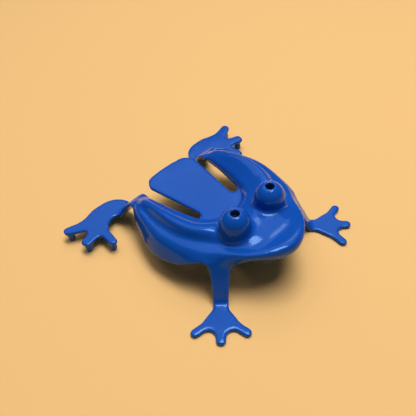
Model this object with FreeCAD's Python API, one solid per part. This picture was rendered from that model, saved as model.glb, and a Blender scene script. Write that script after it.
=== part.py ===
"""Jumping frog: a one-piece injection-moulded toy.

A thin plastic skin forms the head, the back and the two thighs, wrapped like a horseshoe round a
springy tail tongue. Two front legs hang from its hem, and each thigh arches over into a hind foot
that stands on three pegs. Pressing the tongue's free end down and letting it slip makes it jump.

Frame: +Z up, the floor at Z = 0, the frog's head towards -Y, left and right mirrored about X = 0.
The origin is under the middle of the frog. All sizes are in millimetres.
"""

import math
import os

import FreeCAD
import Part

V = FreeCAD.Vector
UP = V(0, 0, 1)
CENTRE = V(0, 0, 0)

# The wall that everything is moulded in, and the rounding of its plate edges
wall = 1.0
edge_round = 0.3

# How far back the drawing is moved so that the origin lies under the frog's middle
middle_shift_y = 6.75

# Where the front cross-sections of the skin fan out from
fan_centre_y = -6.0

# Eyes: domes on short tubes, each with a hole straight down through its top
eye_x = 5.26
eye_y = -17.24
eye_radius = 3.35
eye_top = 17.35
eye_bottom = 10.6
eye_hole_radius = 0.95

# Tongue: a flat plate, its root filling the recess, with a round-ended slot on each side
tongue_top = 8.8
tongue_root_x = 4.84
tongue_waist_x = 5.07
tongue_waist_y = -4.0
tongue_wide_x = 7.2
tongue_wide_y = 8.6
tongue_corner_x = 5.6
tongue_corner_y = 10.9
tongue_corner_round = 2.2
tongue_tip_y = 11.7
tongue_tip_round = 30.0
recess_radius = 6.6
recess_y = -5.6
slot_end_radius = 1.03
slot_end_y = -5.9

# Front feet: the ankle's place, the way the foot points, and its webbed outline
ankle_x = 15.1
ankle_y = -22.3
front_foot_angle = -44.6
ankle_half = 1.62
front_toe_half = 0.95

# Front legs: a bent strip that leans in from the foot up to the hem
leg_top = 9.2
leg_slope = math.radians(63)
leg_centre_out = -1.2
leg_centre_z = 1.8
leg_bend_round = 0.5
leg_waist_half = 1.9
leg_flare_half = 3.1

# Hind feet: a flat webbed plate on three pegs under its toe tips
hind_foot_top = 3.2
peg_radius = 0.85
peg_places = [(25.9, 16.3), (24.9, 10.6), (20.8, 6.8)]


def fan(angle, *places):
    """One cross-section of the skin on a ray from the fan centre.

    Args:
        angle: the ray's angle from straight ahead, in degrees.
        places: (distance, height) of each pole, from the recess outwards to the hem.
    """
    turn = math.radians(angle)
    return [V(r * math.sin(turn), fan_centre_y - r * math.cos(turn), z) for r, z in places]


def across(y, *places):
    """One cross-section of the skin straight across the thigh: (x, height) of each pole."""
    return [V(x, y, z) for x, z in places]


def strap(inner, outer):
    """One straight cross-section of the strap down to the hind foot, its poles evenly spread."""
    start, reach = V(*inner), V(*outer) - V(*inner)
    steps = len(head_sections[0]) - 1
    return [start + reach * (k / steps) for k in range(steps + 1)]


# The skin's pole net over the head and shoulders. Each row runs from the recess wall over its lip and
# the crown, down into the groove, out over the brim and down to the hem.
head_sections = [
    fan(
        0, (5.6, 7.8), (5.6, 10.2), (7.3, 11.3),
        (11.0, 12.7), (16.0, 12.3), (19.0, 12.0), (23.2, 13.8), (23.4, 10.4), (21.6, 8.3),
    ),
    fan(
        12, (5.6, 7.8), (5.6, 10.2), (7.3, 11.3),
        (10.8, 12.7), (15.8, 12.5), (18.6, 11.8), (22.2, 13.4), (22.1, 10.7), (20.8, 8.9),
    ),
    fan(
        24, (5.7, 7.8), (5.7, 10.2), (7.3, 11.2),
        (10.5, 12.7), (15.2, 12.5), (17.4, 11.1), (20.0, 12.3), (19.9, 10.8), (19.3, 9.5),
    ),
    fan(
        38, (5.9, 7.8), (5.9, 10.1), (7.6, 11.1),
        (10.4, 12.7), (13.6, 12.6), (14.8, 10.4), (17.2, 11.5), (17.9, 9.9), (18.4, 8.3),
    ),
    fan(
        54, (6.2, 7.8), (6.2, 10.0), (8.0, 11.0),
        (10.6, 12.8), (12.9, 12.9), (13.6, 10.2), (15.8, 11.0), (17.0, 9.9), (17.9, 8.8),
    ),
    fan(
        72, (6.6, 7.8), (6.6, 9.9), (8.3, 10.8),
        (10.8, 12.6), (12.9, 12.9), (13.5, 10.1), (15.7, 10.6), (17.0, 8.5), (17.8, 6.3),
    ),
    fan(
        90, (7.0, 7.8), (7.0, 9.8), (8.6, 10.6),
        (11.0, 12.4), (13.0, 12.8), (13.6, 9.9), (16.0, 10.4), (17.2, 7.8), (18.0, 5.1),
    ),
]

# The pole net over the thigh, then down the strap, which narrows and turns flat
thigh_sections = [
    across(
        -2.0, (7.95, 7.8), (7.95, 9.5), (9.4, 10.3),
        (11.3, 12.1), (13.0, 12.4), (13.6, 9.7), (15.8, 10.2), (16.8, 7.6), (17.5, 5.0),
    ),
    across(
        2.0, (8.65, 7.8), (8.65, 9.2), (9.7, 9.9),
        (11.2, 11.2), (12.6, 11.3), (13.2, 9.4), (15.0, 9.9), (15.7, 7.6), (16.2, 5.3),
    ),
    across(
        5.5, (9.1, 7.7), (9.1, 8.7), (9.8, 9.3),
        (11.0, 9.9), (12.1, 10.0), (12.7, 9.1), (13.8, 9.3), (14.3, 7.7), (14.7, 6.2),
    ),
    strap((8.9, 7.4, 8.6), (13.6, 7.6, 8.4)),
    strap((9.1, 9.5, 7.5), (14.1, 9.4, 7.3)),
    strap((9.6, 11.1, 5.3), (14.7, 10.7, 5.2)),
    strap((10.4, 12.7, 3.0), (15.3, 11.9, 3.0)),
]


def rounded_face(corners):
    """A flat face in XY with rounded corners.

    Args:
        corners: (x, y, radius) of each corner in order; a radius of 0 leaves it sharp.
    """
    ends = []
    arcs = {}
    for k, (x, y, radius) in enumerate(corners):
        here = V(x, y, 0)
        before = V(*corners[k - 1][:2], 0) - here
        after = V(*corners[(k + 1) % len(corners)][:2], 0) - here
        before.normalize()
        after.normalize()
        half = before.getAngle(after) / 2
        start = here + before * (radius / math.tan(half))
        finish = here + after * (radius / math.tan(half))
        ends.append((start, finish))
        if radius:
            inwards = before + after
            inwards.normalize()
            middle = here + inwards * (radius / math.sin(half) - radius)
            arcs[k] = Part.Arc(start, middle, finish).toShape()
    outline = []
    for k in range(len(corners)):
        if k in arcs:
            outline.append(arcs[k])
        start, finish = ends[k][1], ends[(k + 1) % len(corners)][0]
        outline.append(Part.makeLine(start, finish))
    return Part.Face(Part.Wire(outline))


def flipped(corners, axis):
    """The corners in reverse order, mirrored: axis 0 changes x, axis 1 changes y."""
    signs = (-1, 1) if axis == 0 else (1, -1)
    return [(x * signs[0], y * signs[1], radius) for x, y, radius in reversed(corners)]


def plate(corners, top):
    """A plate one wall thick under a height, with rounded corners and rounded rims."""
    solid = rounded_face(corners).extrude(UP * wall)
    rims = [edge for edge in solid.Edges if edge.BoundBox.ZLength < edge_round]
    solid = solid.makeFillet(edge_round, rims)
    solid.translate(UP * (top - wall))
    return solid


def pair(shape):
    """A shape and its mirror image across X = 0."""
    return [shape, shape.mirror(CENTRE, V(1, 0, 0))]


def pole_places(curve):
    """The parameters where each pole of a spline pulls most: averages of its neighbouring knots."""
    flat = [knot for knot, times in zip(curve.getKnots(), curve.getMultiplicities()) for _ in range(times)]
    return [sum(flat[k + 1:k + 1 + curve.Degree]) / curve.Degree for k in range(curve.NbPoles)]


def skin():
    """The skin: a spline surface from one hind foot round the head to the other, lined to its wall."""
    left = head_sections + thigh_sections
    right = [[V(-pole.x, pole.y, pole.z) for pole in row] for row in reversed(left[1:])]
    rows = right + left
    crown = len(rows[0]) // 2
    steps = [0.0]
    for last, row in zip(rows, rows[1:]):
        steps.append(steps[-1] + math.sqrt(last[crown].distanceToPoint(row[crown])))
    rails = []
    for k in range(len(rows[0])):
        rail = Part.BSplineCurve()
        rail.interpolate(Points=[row[k] for row in rows], Parameters=steps)
        rails.append(rail)
    rib = Part.BSplineCurve()
    rib.buildFromPoles(rows[0], False, 3)

    def surface(net):
        spline = Part.BSplineSurface()
        spline.buildFromPolesMultsKnots(
            net,
            rails[0].getMultiplicities(),
            rib.getMultiplicities(),
            rails[0].getKnots(),
            rib.getKnots(),
            False,
            False,
            rails[0].Degree,
            rib.Degree,
        )
        return spline

    net = [list(poles) for poles in zip(*[rail.getPoles() for rail in rails])]
    outside = surface(net)
    across_places = pole_places(rib)
    lining = [
        [pole + outside.normal(u, v) * wall for pole, v in zip(row, across_places)]
        for row, u in zip(net, pole_places(rails[0]))
    ]
    faces = [outside.toShape(), surface(lining).toShape()]
    rims = [Part.makeRuledSurface(*edges) for edges in zip(faces[0].Edges, faces[1].Edges)]
    shell = Part.makeShell(faces + rims)
    shell.sewShape()
    solid = Part.makeSolid(shell)
    if solid.Volume < 0:
        solid.reverse()
    return solid


def bullet(radius, bottom):
    """A tube with a hemisphere on it, on the eye's axis, concentric with the eye's dome."""
    foot = V(eye_x, eye_y, bottom)
    shoulder = V(eye_x, eye_y, eye_top - eye_radius)
    tube = Part.makeCylinder(radius, shoulder.z - bottom, foot)
    return tube.fuse(Part.makeSphere(radius, shoulder))


def eye_hollow():
    """What is taken out of an eye and of the skin under it: the hollow and the hole above it."""
    bottom = tongue_top - wall
    hole = Part.makeCylinder(eye_hole_radius, eye_top, V(eye_x, eye_y, bottom))
    return bullet(eye_radius - wall, bottom).fuse(hole)


def tongue():
    """The tail tongue with its root, which fills the recess between the slots' round ends."""
    side = [
        (tongue_root_x, slot_end_y, 0),
        (tongue_waist_x, tongue_waist_y, 0),
        (tongue_wide_x, tongue_wide_y, tongue_corner_round),
        (tongue_corner_x, tongue_corner_y, tongue_corner_round),
    ]
    tip = (0, tongue_tip_y, tongue_tip_round)
    blade = plate(side + [tip] + flipped(side, 0), tongue_top)
    low = tongue_top - wall
    root = Part.makeCylinder(recess_radius, wall, V(0, recess_y, low))
    ahead = Part.makeBox(
        2 * recess_radius, 2 * recess_radius, wall, V(-recess_radius, slot_end_y - 2 * recess_radius, low)
    )
    slot_end = Part.makeCylinder(slot_end_radius, wall, V(tongue_root_x + slot_end_radius, slot_end_y, low))
    return blade.fuse(root.common(ahead).cut(pair(slot_end)))


def leg_strip():
    """The bent strip of a front leg, out along +X from the ankle and as wide as its flare."""
    lean = V(-math.cos(leg_slope), math.sin(leg_slope), 0)
    half_wall = V(lean.y, -lean.x, 0) * (wall / 2)
    on_line = V(leg_centre_out, leg_centre_z, 0)

    def corner(height, side, radius=0):
        start = on_line + half_wall * side
        place = start + lean * ((height - start.y) / lean.y)
        return (place.x, place.y, radius)

    profile = rounded_face([
        (ankle_half, 0, 0),
        (ankle_half, wall, 0),
        corner(wall, 1, leg_bend_round),
        corner(leg_top, 1),
        corner(leg_top, -1),
        corner(0, -1, leg_bend_round + wall),
    ])
    strip = profile.extrude(UP * 2 * leg_flare_half)
    strip.translate(UP * -leg_flare_half)
    strip.rotate(CENTRE, V(1, 0, 0), 90)
    return strip


def leg_outline():
    """A block with the front leg's outline as seen along the foot, to be shared with the strip."""
    half = [
        (ankle_half, -wall, 0),
        (ankle_half, leg_centre_z, 6.0),
        (leg_waist_half, 5.6, 6.0),
        (leg_waist_half + 0.4, leg_top - 1.2, 1.4),
        (leg_flare_half, leg_top - 0.3, 0),
        (leg_flare_half, leg_top + wall, 0),
    ]
    block = rounded_face(half + flipped(half, 0)).extrude(UP * 2 * leg_top)
    block.translate(UP * -leg_top)
    block.rotate(CENTRE, V(1, 0, 0), 90)
    block.rotate(CENTRE, UP, 90)
    return block


def front_limb():
    """A front leg and its foot, in place."""
    half = [
        (-ankle_half / 2, ankle_half, 0),
        (ankle_half / 2, ankle_half, 1.6),
        (4.2, 3.95, 3.0),
        (6.14, 6.56, front_toe_half),
        (7.66, 5.36, front_toe_half),
        (4.5, 1.2, 1.45),
        (9.05, front_toe_half + 0.05, front_toe_half),
    ]
    limb = leg_strip().common(leg_outline()).fuse(plate(half + flipped(half, 1), wall))
    limb.rotate(CENTRE, UP, front_foot_angle)
    limb.translate(V(ankle_x, ankle_y, 0))
    return limb


def hind_foot():
    """A hind foot on its pegs."""
    corners = [
        (10.2, 12.3, 0),
        (10.5, 17.75, 5.2),
        (18.2, 17.9, 4.0),
        (22.2, 16.6, 5.0),
        (27.0, 18.0, 0.95),
        (27.4, 15.9, 0.95),
        (22.2, 12.9, 0.85),
        (26.4, 11.5, 0.95),
        (25.9, 9.1, 0.95),
        (21.6, 10.0, 0.85),
        (21.9, 5.4, 0.9),
        (19.9, 5.4, 0.9),
        (19.3, 10.6, 3.0),
        (16.8, 12.2, 1.5),
        (12.0, 11.9, 0),
    ]
    sole = hind_foot_top - wall
    pegs = [Part.makeCylinder(peg_radius, sole + wall / 2, V(x, y, 0)) for x, y in peg_places]
    return plate(corners, hind_foot_top).fuse(pegs)


def jumping_frog():
    """The whole frog as one solid."""
    body = skin().fuse(pair(bullet(eye_radius, eye_bottom))).cut(pair(eye_hollow()))
    body = body.fuse(tongue())
    body = body.fuse(pair(front_limb()))
    body = body.fuse(pair(hind_foot()))
    frog = body.removeSplitter().Solids[0]
    frog.translate(V(0, middle_shift_y, 0))
    return frog


os.makedirs("parts", exist_ok=True)
jumping_frog().exportStep("parts/jumping_frog.step")
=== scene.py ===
"""Dresses the jumping frog toy: the rounded moulding, its glossy blue plastic, and the studio round it.

All sizes are in metres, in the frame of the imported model: +Z up, the frog's head towards -Y.
"""

import logging
import math
from dataclasses import dataclass
from enum import Enum

import bmesh
import bpy
import numpy as np
from mathutils import Matrix, Vector

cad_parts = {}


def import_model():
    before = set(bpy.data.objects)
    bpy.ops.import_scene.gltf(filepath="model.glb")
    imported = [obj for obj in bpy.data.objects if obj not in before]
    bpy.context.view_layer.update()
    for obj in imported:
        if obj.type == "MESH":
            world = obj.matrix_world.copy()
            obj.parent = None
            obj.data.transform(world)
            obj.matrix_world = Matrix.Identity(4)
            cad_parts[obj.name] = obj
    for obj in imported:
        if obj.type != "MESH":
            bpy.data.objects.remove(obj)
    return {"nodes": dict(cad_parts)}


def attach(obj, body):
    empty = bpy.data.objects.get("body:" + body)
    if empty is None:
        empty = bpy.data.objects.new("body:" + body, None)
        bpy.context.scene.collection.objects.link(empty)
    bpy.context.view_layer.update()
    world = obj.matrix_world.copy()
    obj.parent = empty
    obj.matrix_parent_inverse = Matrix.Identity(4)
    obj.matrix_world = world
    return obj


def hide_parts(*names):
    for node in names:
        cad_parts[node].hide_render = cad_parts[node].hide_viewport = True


Triple = tuple[float, float, float]

MM = 0.001
LOG = logging.getLogger("jumping_frog")


class Measure(Enum):
    """What the distance to a soft join is measured from."""

    POINT = "point"
    LEVEL_RING = "level ring"


@dataclass(frozen=True)
class SoftJoin:
    """A place where two forms of the moulding flow into each other with a fillet.

    Args:
        name: what is joined there.
        centre: the middle of the place, on the frog's +X side. The -X side mirrors it.
        reach: how far the fillet reaches.
        passes: how many smoothing passes it gets.
        measure: whether the reach counts from the centre or from a level ring round it.
        ring: the radius of that ring.
        slope: how steeply its strength falls with distance. Past 1, its middle acts in full.
    """

    name: str
    centre: Triple
    reach: float
    passes: int
    measure: Measure = Measure.POINT
    ring: float = 0.0
    slope: float = 1.5

    def strength(self, points: np.ndarray) -> np.ndarray:
        """How strongly the join acts on each point.

        Args:
            points: the points, one row each.

        Returns:
            A number from 0 to 1 for each point: full near the join, and falling to 0 at its reach.
        """
        offset = np.abs(points * (1, 0, 0)) + points * (0, 1, 1) - self.centre
        if self.measure is Measure.LEVEL_RING:
            level = np.hypot(offset[:, 0], offset[:, 1]) - self.ring
            distance = np.hypot(level, offset[:, 2])
        else:
            distance = np.linalg.norm(offset, axis=1)
        return np.clip(self.slope * (1 - distance / self.reach), 0, 1)


@dataclass(frozen=True)
class Mottle:
    """A noise over the plastic.

    Args:
        scale: how many lumps there are to a metre, near enough.
        detail: how many finer layers lie over them.
        stretch: how much closer they lie along each axis.
        low: the noise at which its effect starts.
        high: the noise at which its effect is full.
    """

    scale: float
    detail: float
    stretch: Triple = (1, 1, 1)
    low: float = 0.0
    high: float = 1.0


@dataclass(frozen=True)
class Relief:
    """A mottle that shows as height.

    Args:
        mottle: where it is high and low.
        strength: how strongly it bends the gloss.
        height: its height.
    """

    mottle: Mottle
    strength: float
    height: float


@dataclass(frozen=True)
class GlossPlastic:
    """Coloured plastic straight from a polished mould."""

    name: str = "gloss_blue_plastic"
    colour: Triple = (0.0060, 0.086, 0.475)
    deep_colour: Triple = (0.0040, 0.077, 0.435)
    gloss_colour: Triple = (0.36, 0.62, 1.0)
    refraction: float = 1.5
    roughness: float = 0.08
    haze_depth: float = 0.12
    scratch_depth: float = 0.25
    pigment: Mottle = Mottle(90, 3, (1, 1, 2), 0.35, 0.65)
    haze: Mottle = Mottle(260, 4, low=0.45, high=0.75)
    scratches: Mottle = Mottle(900, 2, (1, 9, 1), 0.70, 0.74)
    reliefs: tuple[Relief, ...] = (
        Relief(Mottle(230, 1), 0.35, 0.05 * MM),
        Relief(Mottle(1500, 2, (1, 6, 1)), 0.2, 0.01 * MM),
    )

    def material(self) -> bpy.types.Material:
        """Builds the plastic's material.

        Returns:
            The node material: slight streaks of pigment, flow ripples, hairline scratches and handling haze.
        """
        made = bpy.data.materials.new(self.name)
        made.use_nodes = True
        tree = made.node_tree
        shader = tree.nodes["Principled BSDF"]
        shader.inputs["IOR"].default_value = self.refraction
        shader.inputs["Specular Tint"].default_value = (*self.gloss_colour, 1)
        self._colour(tree, shader)
        self._roughness(tree, shader)
        self._relief(tree, shader)
        return made

    def _colour(self, tree: bpy.types.NodeTree, shader: bpy.types.Node) -> None:
        """Mixes the two blues by the pigment's streaks."""
        blend = tree.nodes.new("ShaderNodeMix")
        blend.data_type = "RGBA"
        blend.inputs["A"].default_value = (*self.deep_colour, 1)
        blend.inputs["B"].default_value = (*self.colour, 1)
        tree.links.new(self._ramp(tree, self.pigment, 0, 1), blend.inputs["Factor"])
        tree.links.new(blend.outputs["Result"], shader.inputs["Base Color"])

    def _roughness(self, tree: bpy.types.NodeTree, shader: bpy.types.Node) -> None:
        """Adds the scratches to the haze."""
        total = tree.nodes.new("ShaderNodeMath")
        haze = self._ramp(tree, self.haze, self.roughness, self.roughness + self.haze_depth)
        tree.links.new(haze, total.inputs[0])
        tree.links.new(self._ramp(tree, self.scratches, 0, self.scratch_depth), total.inputs[1])
        tree.links.new(total.outputs["Value"], shader.inputs["Roughness"])

    def _relief(self, tree: bpy.types.NodeTree, shader: bpy.types.Node) -> None:
        """Lays the reliefs over one another, the coarsest first."""
        socket = shader.inputs["Normal"]
        for relief in reversed(self.reliefs):
            bump = tree.nodes.new("ShaderNodeBump")
            bump.inputs["Strength"].default_value = relief.strength
            bump.inputs["Distance"].default_value = relief.height
            tree.links.new(self._noise(tree, relief.mottle), bump.inputs["Height"])
            tree.links.new(bump.outputs["Normal"], socket)
            socket = bump.inputs["Normal"]

    def _noise(self, tree: bpy.types.NodeTree, mottle: Mottle) -> bpy.types.NodeSocket:
        """A mottle's noise field over the object.

        Args:
            tree: the material's nodes.
            mottle: the mottle.

        Returns:
            The socket that gives the noise.
        """
        place = tree.nodes.new("ShaderNodeTexCoord")
        mapping = tree.nodes.new("ShaderNodeMapping")
        mapping.inputs["Scale"].default_value = mottle.stretch
        tree.links.new(place.outputs["Object"], mapping.inputs["Vector"])
        field = tree.nodes.new("ShaderNodeTexNoise")
        field.inputs["Scale"].default_value = mottle.scale
        field.inputs["Detail"].default_value = mottle.detail
        tree.links.new(mapping.outputs["Vector"], field.inputs["Vector"])
        return field.outputs["Fac"]

    def _ramp(
        self, tree: bpy.types.NodeTree, mottle: Mottle, start: float, full: float
    ) -> bpy.types.NodeSocket:
        """A mottle's effect as a number between two.

        Args:
            tree: the material's nodes.
            mottle: the mottle.
            start: the number up to the mottle's low noise.
            full: the number from its high noise on.

        Returns:
            The socket that gives the number.
        """
        ramp = tree.nodes.new("ShaderNodeMapRange")
        tree.links.new(self._noise(tree, mottle), ramp.inputs["Value"])
        ramp.inputs["From Min"].default_value = mottle.low
        ramp.inputs["From Max"].default_value = mottle.high
        ramp.inputs["To Min"].default_value = start
        ramp.inputs["To Max"].default_value = full
        return ramp.outputs["Result"]


@dataclass
class Moulding:
    """The whole frog as it leaves the mould, every edge rounded and every join filleted."""

    node: str = "jumping_frog"
    piece_name: str = "moulded_frog"
    weld_distance: float = 0.001 * MM
    grain: float = 0.24 * MM
    edge_passes: int = 6
    pass_step: float = 0.5
    joins: tuple[SoftJoin, ...] = (
        SoftJoin(
            "eye to head",
            (5.26 * MM, -10.49 * MM, 12.2 * MM),
            reach=1.3 * MM,
            passes=30,
            measure=Measure.LEVEL_RING,
            ring=3.35 * MM,
        ),
        SoftJoin("front leg to hem", (15.0 * MM, -15.6 * MM, 8.6 * MM), reach=2.6 * MM, passes=26),
        SoftJoin("strap to hind foot", (13.0 * MM, 19.0 * MM, 3.0 * MM), reach=3.4 * MM, passes=26),
        SoftJoin("slot to tongue", (5.6 * MM, 0.4 * MM, 8.3 * MM), reach=1.6 * MM, passes=12),
    )

    def build(self, source: bpy.types.Object, finish: GlossPlastic) -> bpy.types.Object:
        """Makes the rounded moulding from the exact form.

        Args:
            source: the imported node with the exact, sharp-edged form.
            finish: the plastic that it is moulded in.

        Returns:
            The finished piece, riding on the root.
        """
        piece = self._closed_copy(source)
        self._rebuild(piece)
        self._smooth(piece, np.ones(len(piece.data.vertices)), self.edge_passes)
        for join in self.joins:
            self._smooth(piece, join.strength(self._points(piece)), join.passes)
            LOG.info("%s: %s filleted", self.piece_name, join.name)
        piece.data.shade_smooth()
        piece.data.materials.clear()
        piece.data.materials.append(finish.material())
        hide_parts(self.node)
        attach(piece, "root")
        LOG.info("%s: %d faces", piece.name, len(piece.data.polygons))
        return piece

    def _closed_copy(self, source: bpy.types.Object) -> bpy.types.Object:
        """Copies the exact form and welds it along its edges.

        Args:
            source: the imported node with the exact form.

        Returns:
            The copy, as a new piece.
        """
        mesh = source.data.copy()
        work = bmesh.new()
        work.from_mesh(mesh)
        bmesh.ops.remove_doubles(work, verts=work.verts, dist=self.weld_distance)
        work.to_mesh(mesh)
        work.free()
        piece = bpy.data.objects.new(self.piece_name, mesh)
        bpy.context.scene.collection.objects.link(piece)
        return piece

    def _rebuild(self, piece: bpy.types.Object) -> None:
        """Rebuilds the piece's mesh from even quads, a grain apart."""
        remesh = piece.modifiers.new("grain", "REMESH")
        remesh.mode = "VOXEL"
        remesh.voxel_size = self.grain
        graph = bpy.context.evaluated_depsgraph_get()
        made = bpy.data.meshes.new_from_object(piece.evaluated_get(graph))
        piece.modifiers.clear()
        piece.data = made

    def _smooth(self, piece: bpy.types.Object, weights: np.ndarray, passes: int) -> None:
        """Moves each point towards the middle of its neighbours.

        Args:
            piece: the piece to smooth.
            weights: how far each point moves, from 0 to 1.
            passes: how many times.
        """
        mesh = piece.data
        points = self._points(piece)
        edges = np.empty(len(mesh.edges) * 2, dtype=np.int64)
        mesh.edges.foreach_get("vertices", edges)
        here, there = np.concatenate([edges.reshape(-1, 2), edges.reshape(-1, 2)[:, ::-1]]).T
        count = np.bincount(here, minlength=len(points))[:, None]
        step = (weights * self.pass_step)[:, None]
        for _ in range(passes):
            total = np.stack([np.bincount(here, row[there], len(points)) for row in points.T], axis=1)
            points += (total / count - points) * step
        mesh.vertices.foreach_set("co", points.ravel())
        mesh.update()

    def _points(self, piece: bpy.types.Object) -> np.ndarray:
        """The piece's points, one row each."""
        points = np.empty(len(piece.data.vertices) * 3)
        piece.data.vertices.foreach_get("co", points)
        return points.reshape(-1, 3)


@dataclass(frozen=True)
class Lamp:
    """A soft rectangular lamp that faces the frog.

    Args:
        name: what the lamp is called.
        place: where it hangs.
        size: its width and height.
        power: its power in watts.
    """

    name: str
    place: Triple
    size: tuple[float, float]
    power: float

    def build(self) -> None:
        """Hangs the lamp."""
        data = bpy.data.lights.new(self.name, "AREA")
        data.shape = "RECTANGLE"
        data.size, data.size_y = self.size
        data.energy = self.power
        lamp = bpy.data.objects.new(self.name, data)
        lamp.location = self.place
        lamp.rotation_euler = (-Vector(self.place)).to_track_quat("-Z", "Y").to_euler()
        bpy.context.scene.collection.objects.link(lamp)
        LOG.info("lamp %s: %.2f W", self.name, self.power)


@dataclass(frozen=True)
class Room:
    """The room's light: an even tone, brighter above than round the walls."""

    colour: Triple = (0.90, 0.95, 1.0)
    wall_top: float = 0.1
    wall_light: float = 0.03
    roof_light: float = 0.14

    def build(self) -> None:
        """Sets the world's light."""
        world = bpy.data.worlds.new("room")
        world.use_nodes = True
        tree = world.node_tree
        background = tree.nodes["Background"]
        background.inputs["Color"].default_value = (*self.colour, 1)
        direction = tree.nodes.new("ShaderNodeTexCoord")
        height = tree.nodes.new("ShaderNodeSeparateXYZ")
        rise = tree.nodes.new("ShaderNodeMapRange")
        rise.inputs["From Min"].default_value = self.wall_top
        rise.inputs["To Min"].default_value = self.wall_light
        rise.inputs["To Max"].default_value = self.roof_light
        tree.links.new(direction.outputs["Generated"], height.inputs["Vector"])
        tree.links.new(height.outputs["Z"], rise.inputs["Value"])
        tree.links.new(rise.outputs["Result"], background.inputs["Strength"])
        bpy.context.scene.world = world
        LOG.info("room: %.2f to %.2f", self.wall_light, self.roof_light)


@dataclass(frozen=True)
class Floor:
    """A wide matt floor in a plain warm pale tone."""

    width: float = 3.0
    colour: Triple = (0.91, 0.545, 0.205)
    roughness: float = 0.85

    def build(self) -> None:
        """Lays the floor."""
        half = self.width / 2
        corners = [(-half, -half, 0), (half, -half, 0), (half, half, 0), (-half, half, 0)]
        mesh = bpy.data.meshes.new("floor")
        mesh.from_pydata(corners, [], [range(len(corners))])
        floor = bpy.data.objects.new("floor", mesh)
        bpy.context.scene.collection.objects.link(floor)
        paper = bpy.data.materials.new("warm_paper")
        paper.use_nodes = True
        shader = paper.node_tree.nodes["Principled BSDF"]
        shader.inputs["Base Color"].default_value = (*self.colour, 1)
        shader.inputs["Roughness"].default_value = self.roughness
        mesh.materials.append(paper)
        LOG.info("floor: %.1f m wide", self.width)


@dataclass(frozen=True)
class Camera:
    """The camera, where the photograph was taken from. Angles are in radians."""

    focus: Triple = (3.0275 * MM, 6.75 * MM, 0)
    azimuth: float = -0.7233
    elevation: float = 0.8021
    roll: float = -0.0745
    distance: float = 124.0373 * MM
    lens_in_frame_widths: float = 503.55 / 416
    sensor_width: float = 36.0
    nearest: float = 0.005
    farthest: float = 20.0

    def build(self) -> None:
        """Places the camera."""
        level = math.cos(self.elevation)
        back = Vector(
            (math.sin(self.azimuth) * level, -math.cos(self.azimuth) * level, math.sin(self.elevation))
        )
        right = (-back).cross(Vector((0, 0, 1))).normalized()
        up = right.cross(-back)
        rolled_right = right * math.cos(self.roll) + up * math.sin(self.roll)
        rolled_up = up * math.cos(self.roll) - right * math.sin(self.roll)
        turn = Matrix((rolled_right, rolled_up, back)).transposed()
        data = bpy.data.cameras.new("camera")
        data.sensor_width = self.sensor_width
        data.lens = self.sensor_width * self.lens_in_frame_widths
        data.clip_start = self.nearest
        data.clip_end = self.farthest
        camera = bpy.data.objects.new("camera", data)
        camera.matrix_world = Matrix.Translation(Vector(self.focus) + back * self.distance) @ turn.to_4x4()
        bpy.context.scene.collection.objects.link(camera)
        bpy.context.scene.camera = camera
        LOG.info("camera: %.0f mm lens, %.0f mm away", data.lens, self.distance / MM)


@dataclass(frozen=True)
class Studio:
    """What stands round the frog: the floor, the room, the lamps and the camera."""

    floor: Floor = Floor()
    room: Room = Room()
    lamps: tuple[Lamp, ...] = (
        Lamp("window", (0.10, -0.01, 0.55), (0.36, 0.20), 2.3),
        Lamp("pane", (0.41, 0.30, 0.55), (0.10, 0.09), 0.09),
        Lamp("ceiling", (0.25, 0.45, 1.30), (1.6, 1.6), 7.0),
    )
    camera: Camera = Camera()

    def build(self) -> None:
        """Builds the studio."""
        self.floor.build()
        self.room.build()
        for lamp in self.lamps:
            lamp.build()
        self.camera.build()


def main(frame: dict) -> None:
    """Builds the frog and the studio.
    """
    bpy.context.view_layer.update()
    bpy.context.scene.view_settings.view_transform = "Standard"
    frog = Moulding()
    frog.build(frame["nodes"][frog.node], GlossPlastic())
    Studio().build()


if __name__ == "__main__":
    logging.basicConfig(level=logging.INFO, format="%(name)s: %(message)s")
    main(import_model())
